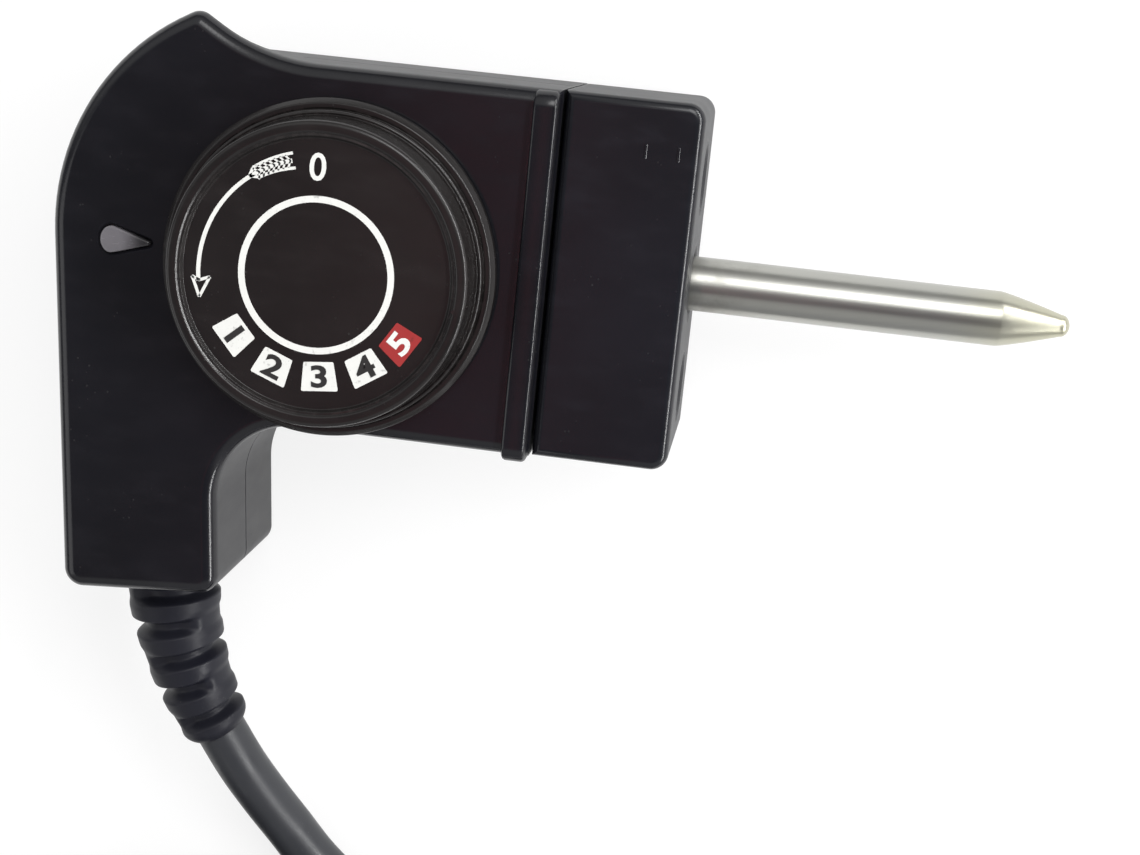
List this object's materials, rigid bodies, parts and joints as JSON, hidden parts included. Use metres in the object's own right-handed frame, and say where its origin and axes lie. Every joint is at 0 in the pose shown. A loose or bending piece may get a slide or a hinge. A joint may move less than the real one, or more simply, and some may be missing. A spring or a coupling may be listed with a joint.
{
  "type": "plug-in probe thermostat with mains cord",
  "caption": "Plug-in griddle thermostat: a temperature dial on an L-shaped housing, a straight probe between contact sockets, and a mains cord with a bend protector and wall plug.",
  "frame": {"origin": "on the housing's flat back face, under the dial's axis", "axes": "+Z out of the dial face, +X along the probe towards its tip, +Y towards the thumb ridge, away from the cord"},
  "size_m": [0.1303, 0.2272, 0.043],
  "materials": {
    "housing_plastic": "moulded black phenolic, fine grain",
    "nose_plastic": "moulded black, slightly lighter",
    "dial_plastic": "moulded black-brown, satin",
    "print_white": "white print",
    "lens_smoke": "smoke-grey lens",
    "probe_steel": "satin stainless tube",
    "rod_alloy": "bright low-expansion rod",
    "zinc_plate": "zinc plated",
    "brass": "bright brass",
    "contact_silver": "silver contact",
    "ceramic": "unglazed ceramic",
    "lamp_glass": "neon lamp glass",
    "resistor": "lacquer",
    "wire_brown": "brown core insulation",
    "wire_blue": "blue core insulation",
    "wire_green": "green and yellow core insulation",
    "cord_rubber": "black rubber sheath",
    "relief_rubber": "black rubber",
    "tie_nylon": "black nylon",
    "plug_plastic": "moulded black",
    "plug_metal": "nickel plated"
  },
  "bodies": {
    "housing": {"front_cover": "housing_plastic", "back_cover": "housing_plastic", "connector_nose": "nose_plastic", "probe_sheath": "probe_steel", "probe_ferrule": "zinc_plate", "thermostat_frame": "zinc_plate", "leaf_insulators": "ceramic", "set_terminal": "brass", "contact_terminal": "brass", "stack_screw": "zinc_plate", "spindle_bush": "brass", "bush_nut": "zinc_plate", "pointer_lens": "lens_smoke", "neon_lamp": "lamp_glass", "lamp_resistor": "resistor", "lamp_leads": "contact_silver", "line_socket": "brass", "neutral_socket": "brass", "line_wire": "wire_brown", "neutral_wire": "wire_blue", "earth_wire": "wire_green", "load_wire": "wire_brown", "cord_clamp": "ceramic", "clamp_screws": "zinc_plate", "housing_screws": "zinc_plate", "sheath_end": "cord_rubber", "strain_relief": "relief_rubber", "cord_lead": "cord_rubber", "cord_coil": "cord_rubber", "cord_tail": "cord_rubber", "coil_tie": "tie_nylon", "plug_body": "plug_plastic", "plug_pins": "plug_metal", "plug_earth_clips": "plug_metal"},
    "dial": {"dial_knob": "dial_plastic", "dial_print": "print_white", "spindle": "zinc_plate", "control_cam": "ceramic"},
    "set_lever": {"set_leaf": "brass", "set_contact": "contact_silver", "cam_button": "ceramic"},
    "rod": {"push_rod": "rod_alloy"},
    "contact_lever": {"contact_leaf": "brass", "moving_contact": "contact_silver", "rod_button": "ceramic"}
  },
  "joints": [
    {"name": "dial_turn", "type": "hinge", "parent": "housing", "child": "dial", "pos_m": [0, 0, 0.028], "axis": [0, 0, 1], "range_deg": [-147, 87]},
    {"name": "set_lever_swing", "type": "hinge", "parent": "housing", "child": "set_lever", "pos_m": [0.0113, -0.01105, 0.014], "axis": [0, 0, 1], "range_deg": [-1.9, 1.2]},
    {"name": "rod_slide", "type": "slide", "parent": "housing", "child": "rod", "axis": [1, 0, 0], "range_m": [0, 0.00035]},
    {"name": "contact_lever_swing", "type": "hinge", "parent": "housing", "child": "contact_lever", "pos_m": [0.0143, -0.01105, 0.014], "axis": [0, 0, 1], "range_deg": [-1.7, 0]}
  ],
  "couplings": [
    {"joint": "set_lever_swing", "follows": "dial_turn", "ratio": 0.01193},
    {"joint": "contact_lever_swing", "follows": "rod_slide", "rad_per_m": -80.97}
  ]
}
